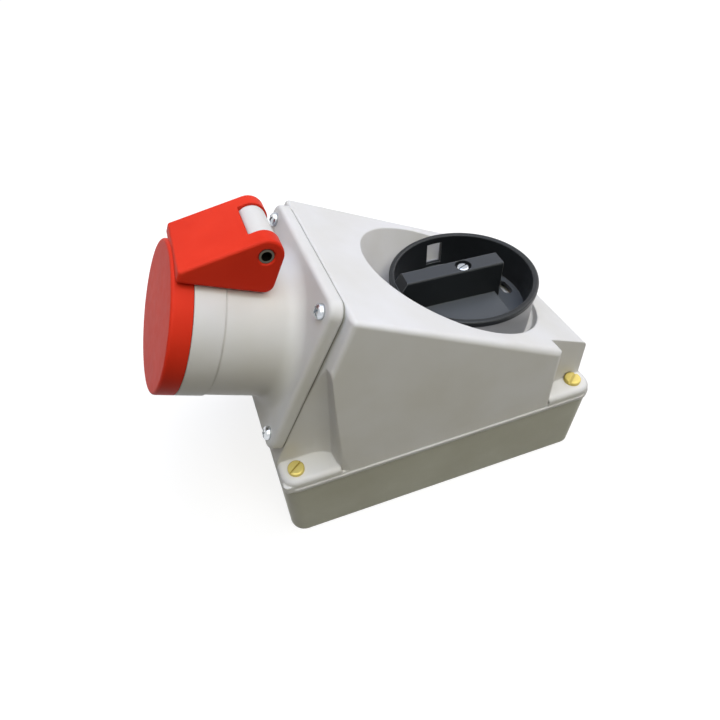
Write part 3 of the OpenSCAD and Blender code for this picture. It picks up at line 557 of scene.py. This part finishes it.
@dataclass
class Studio:
    """Floor, light and camera.

    Attributes:
        eye: Camera's place in metres.
        right: Camera's right.
        up: Camera's up.
        lens: Focal length in millimetres.
        sensor: Width of the picture behind the lens in millimetres.
        shift: Sideways and upward shift of the picture.
        near: Nearest distance that is drawn in metres.
        target: Point that the lamps look at.
        lamps: Lamps of the set.
        floor_half: Half the floor's side in metres.
        floor_drop: Gap between floor and object in metres.
        bounce: Colour of the light that the floor throws back.
        shade: How dark the object's shadow on the floor is, as a colour.
        glow_reach: Distance from the object where the floor's white starts to grow, and where it is full.
        glow: White of the floor near the object and far from it.
        surround: Colour of the light from all sides.
        surround_strength: Strength of the light from all sides.
        backdrop_strength: Strength of the backdrop that the eye sees, where 1 is white.
    """

    eye: tuple[float, float, float] = (-0.1031, -0.2164, 0.3112)
    right: tuple[float, float, float] = (0.9499, -0.2995, -0.0898)
    up: tuple[float, float, float] = (0.2751, 0.6643, 0.6950)
    lens: float = 25.89
    sensor: float = 36.0
    shift: tuple[float, float] = (0.0614, -0.0169)
    near: float = 0.01
    target: tuple[float, float, float] = (0.0, 0.0, 0.08)
    lamps: tuple[Lamp, ...] = (
        Lamp("top", (0.0, 0.1, 1.25), 1.0, 8.6, "#CBDBFF"),
        Lamp("front", (0.0, -0.55, 1.2), 1.2, 12.4, "#FFFDEC"),
        Lamp("right", (1.0, 0.15, 0.95), 0.9, 6.0, "#FFF8F4"),
        Lamp("left", (-0.8, 0.7, 1.1), 0.9, 2.6, "#FFE8D0"),
    )
    floor_half: float = 6.0
    floor_drop: float = 0.0005
    bounce: str = "#504A36"
    shade: str = "#8A8A8A"
    glow_reach: tuple[float, float] = (0.15, 0.6)
    glow: tuple[float, float] = (0.8, 1.0)
    surround: str = "#E9EEF8"
    surround_strength: float = 0.02
    backdrop_strength: float = 1.0

    def build(self) -> None:
        """Makes the whole set."""
        scene = bpy.context.scene
        scene.view_settings.view_transform = "Standard"
        self._world(scene)
        self._floor(scene)
        for lamp in self.lamps:
            self._lamp(scene, lamp)
        self._camera(scene)

    def _camera(self, scene: bpy.types.Scene) -> None:
        """Puts the camera where the photograph was taken.

        Args:
            scene: Scene to set.
        """
        data = bpy.data.cameras.new("camera")
        data.lens = self.lens
        data.sensor_width = self.sensor
        data.shift_x, data.shift_y = self.shift
        data.clip_start = self.near
        camera = bpy.data.objects.new("camera", data)
        right = Vector(self.right).normalized()
        back = right.cross(Vector(self.up)).normalized()
        turn = Matrix((right, back.cross(right), back)).transposed()
        camera.matrix_world = Matrix.Translation(self.eye) @ turn.to_4x4()
        scene.collection.objects.link(camera)
        scene.camera = camera

    def _lamp(self, scene: bpy.types.Scene, lamp: Lamp) -> None:
        """Adds one lamp.

        Args:
            scene: Scene to light.
            lamp: Lamp to add.
        """
        data = bpy.data.lights.new(lamp.name, "AREA")
        data.shape = "SQUARE"
        data.size = lamp.size
        data.energy = lamp.power
        data.color = linear(lamp.colour)[:3]
        light = bpy.data.objects.new(lamp.name, data)
        light.location = lamp.place
        look = Vector(self.target) - Vector(lamp.place)
        light.rotation_euler = look.to_track_quat("-Z", "Y").to_euler()
        scene.collection.objects.link(light)

    @staticmethod
    def _seen(tree: NodeTree) -> bpy.types.NodeSocket:
        """Adds the share of rays that show the white backdrop.

        Args:
            tree: Tree to fill.

        Returns:
            1 for what the camera, a mirror or glass sees, else 0.
        """
        path = tree.add("ShaderNodeLightPath")
        bent = (path["Is Glossy Ray"], path["Is Transmission Ray"])
        mirrored = tree.add("ShaderNodeMath", bent, operation="MAXIMUM")[0]
        return tree.add("ShaderNodeMath", (path["Is Camera Ray"], mirrored), operation="MAXIMUM")[0]

    def _floor(self, scene: bpy.types.Scene) -> None:
        """Adds a plain pale floor, which is white to the eye and keeps a faint shadow.

        Args:
            scene: Scene to set.
        """
        mesh = bpy.data.meshes.new("floor")
        shape = bmesh.new()
        bmesh.ops.create_grid(shape, x_segments=1, y_segments=1, size=self.floor_half)
        bmesh.ops.translate(shape, vec=(0.0, 0.0, -self.floor_drop), verts=shape.verts)
        shape.to_mesh(mesh)
        shape.free()
        floor = bpy.data.objects.new("floor", mesh)
        scene.collection.objects.link(floor)
        material = bpy.data.materials.new("pale_floor")
        material.use_nodes = True
        tree = NodeTree(material.node_tree)
        bounce = tree.add("ShaderNodeBsdfDiffuse", (linear(self.bounce),))[0]
        shade = tree.add("ShaderNodeBsdfDiffuse", (linear(self.shade),))[0]
        place = tree.add("ShaderNodeTexCoord")["Object"]
        away = tree.add("ShaderNodeVectorMath", (place,), operation="LENGTH")["Value"]
        strength = tree.add("ShaderNodeMapRange", (away, *self.glow_reach, *self.glow))[0]
        glow = tree.add("ShaderNodeEmission", (linear(WHITE), strength))[0]
        shown = tree.add("ShaderNodeAddShader", (shade, glow))[0]
        both = tree.add("ShaderNodeMixShader", (self._seen(tree), bounce, shown))[0]
        tree.add("ShaderNodeOutputMaterial", (both,))
        mesh.materials.append(material)

    def _world(self, scene: bpy.types.Scene) -> None:
        """Sets a white surround that gives only a little light.

        Args:
            scene: Scene to set.
        """
        world = bpy.data.worlds.new("surround")
        scene.world = world
        world.use_nodes = True
        tree = NodeTree(world.node_tree)
        light = tree.add("ShaderNodeBackground", (linear(self.surround), self.surround_strength))[0]
        white = tree.add("ShaderNodeBackground", (linear(WHITE), self.backdrop_strength))[0]
        both = tree.add("ShaderNodeMixShader", (self._seen(tree), light, white))[0]
        tree.add("ShaderNodeOutputWorld", (both,))


def main() -> None:
    """Dresses the sub-assemblies in order and sets the studio."""
    logging.basicConfig(level=logging.INFO)
    shop = MaterialShop()
    for kind in (WallBox, PlugSocket, SprungLid, RotarySwitch, Interlock, EarthBar):
        kind(shop).dress()
    Studio().build()


if __name__ == "__main__":
    main()
